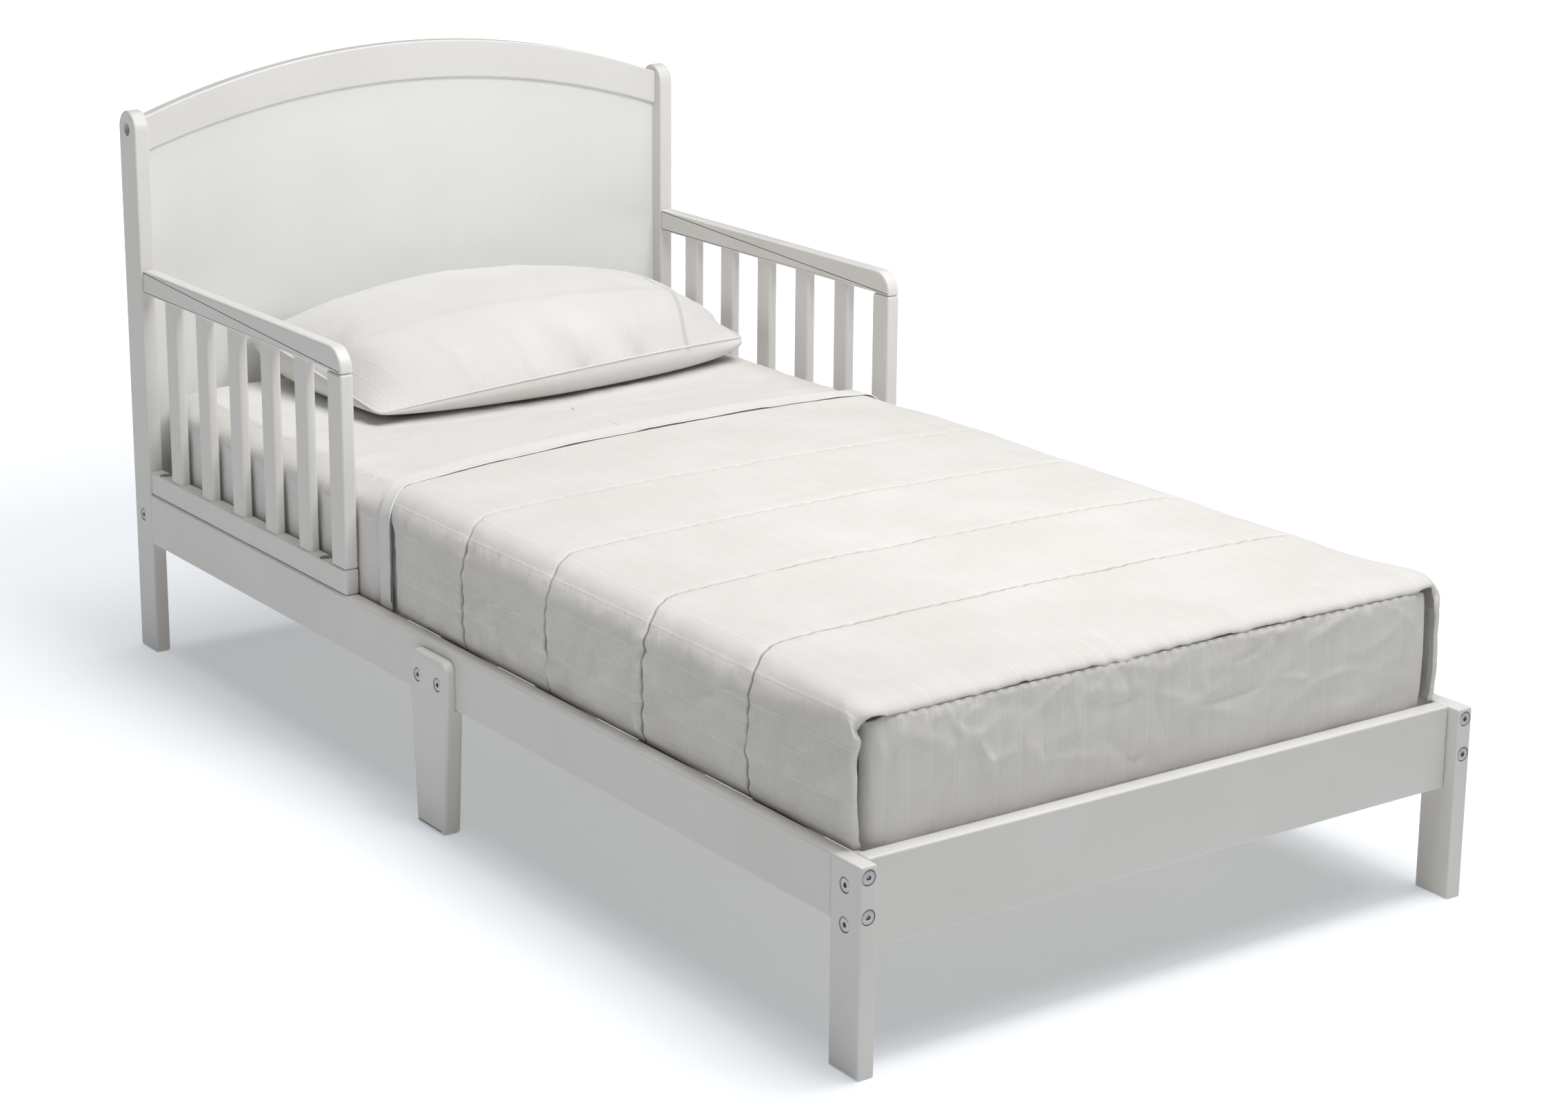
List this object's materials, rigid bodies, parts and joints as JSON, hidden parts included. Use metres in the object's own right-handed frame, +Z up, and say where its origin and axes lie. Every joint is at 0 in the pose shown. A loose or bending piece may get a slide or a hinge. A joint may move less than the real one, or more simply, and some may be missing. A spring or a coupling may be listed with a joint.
{
  "type": "toddler bed",
  "caption": "Low wooden toddler bed with an arched headboard, slatted guard rails at the head end, middle legs, mattress, quilted coverlet and small pillow.",
  "frame": {"origin": "on the floor, under the middle of the bed's overall box", "axes": "+X to the right of someone who stands at the foot and looks at the headboard, +Y from the foot to the headboard, +Z up"},
  "size_m": [0.77, 1.465, 0.712],
  "materials": {
    "paint": "white satin paint",
    "pine": "bare sanded pine",
    "steel": "zinc plated",
    "sheet": "plain cotton fitted sheet",
    "quilt": "fine ribbed cotton",
    "case": "fine ribbed cotton"
  },
  "bodies": {
    "frame": {"base_slat_1": "pine", "base_slat_2": "pine", "base_slat_3": "pine", "base_slat_4": "pine", "base_slat_5": "pine", "base_slat_6": "pine", "base_slat_7": "pine", "foot_front_bolt_left_lower": "steel", "foot_front_bolt_left_upper": "steel", "foot_front_bolt_right_lower": "steel", "foot_front_bolt_right_upper": "steel", "foot_leg_left": "paint", "foot_leg_right": "paint", "foot_rail": "paint", "foot_side_bolt_left_lower": "steel", "foot_side_bolt_left_upper": "steel", "foot_side_bolt_right_lower": "steel", "foot_side_bolt_right_upper": "steel", "guard_bolt_left_end": "steel", "guard_bolt_left_head": "steel", "guard_bolt_right_end": "steel", "guard_bolt_right_head": "steel", "guard_end_post_left": "paint", "guard_end_post_right": "paint", "guard_lower_rail_left": "paint", "guard_lower_rail_right": "paint", "guard_slat_left_1": "paint", "guard_slat_left_2": "paint", "guard_slat_left_3": "paint", "guard_slat_left_4": "paint", "guard_slat_left_5": "paint", "guard_slat_right_1": "paint", "guard_slat_right_2": "paint", "guard_slat_right_3": "paint", "guard_slat_right_4": "paint", "guard_slat_right_5": "paint", "guard_top_rail_left": "paint", "guard_top_rail_right": "paint", "headboard_bolt_left_lower": "steel", "headboard_bolt_left_upper": "steel", "headboard_bolt_right_lower": "steel", "headboard_bolt_right_upper": "steel", "headboard_lower_rail": "paint", "headboard_panel": "paint", "headboard_post_left": "paint", "headboard_post_right": "paint", "headboard_top_rail": "paint", "mid_leg_bolt_left_foot": "steel", "mid_leg_bolt_left_head": "steel", "mid_leg_bolt_right_foot": "steel", "mid_leg_bolt_right_head": "steel", "mid_leg_left": "paint", "mid_leg_right": "paint", "side_rail_left": "paint", "side_rail_right": "paint", "slat_ledge_left": "pine", "slat_ledge_right": "pine"},
    "mattress": {"mattress": "sheet"},
    "coverlet": {"coverlet": "quilt"},
    "pillow": {"pillow": "case"}
  },
  "joints": [
    {"name": "mattress_lift", "type": "slide", "parent": "frame", "child": "mattress", "axis": [0, 0, 1], "range_m": [0, 0.5]},
    {"name": "coverlet_lift", "type": "slide", "parent": "mattress", "child": "coverlet", "axis": [0, 0, 1], "range_m": [0, 0.3]},
    {"name": "pillow_lift", "type": "slide", "parent": "mattress", "child": "pillow", "axis": [0, 0, 1], "range_m": [0, 0.3]}
  ]
}
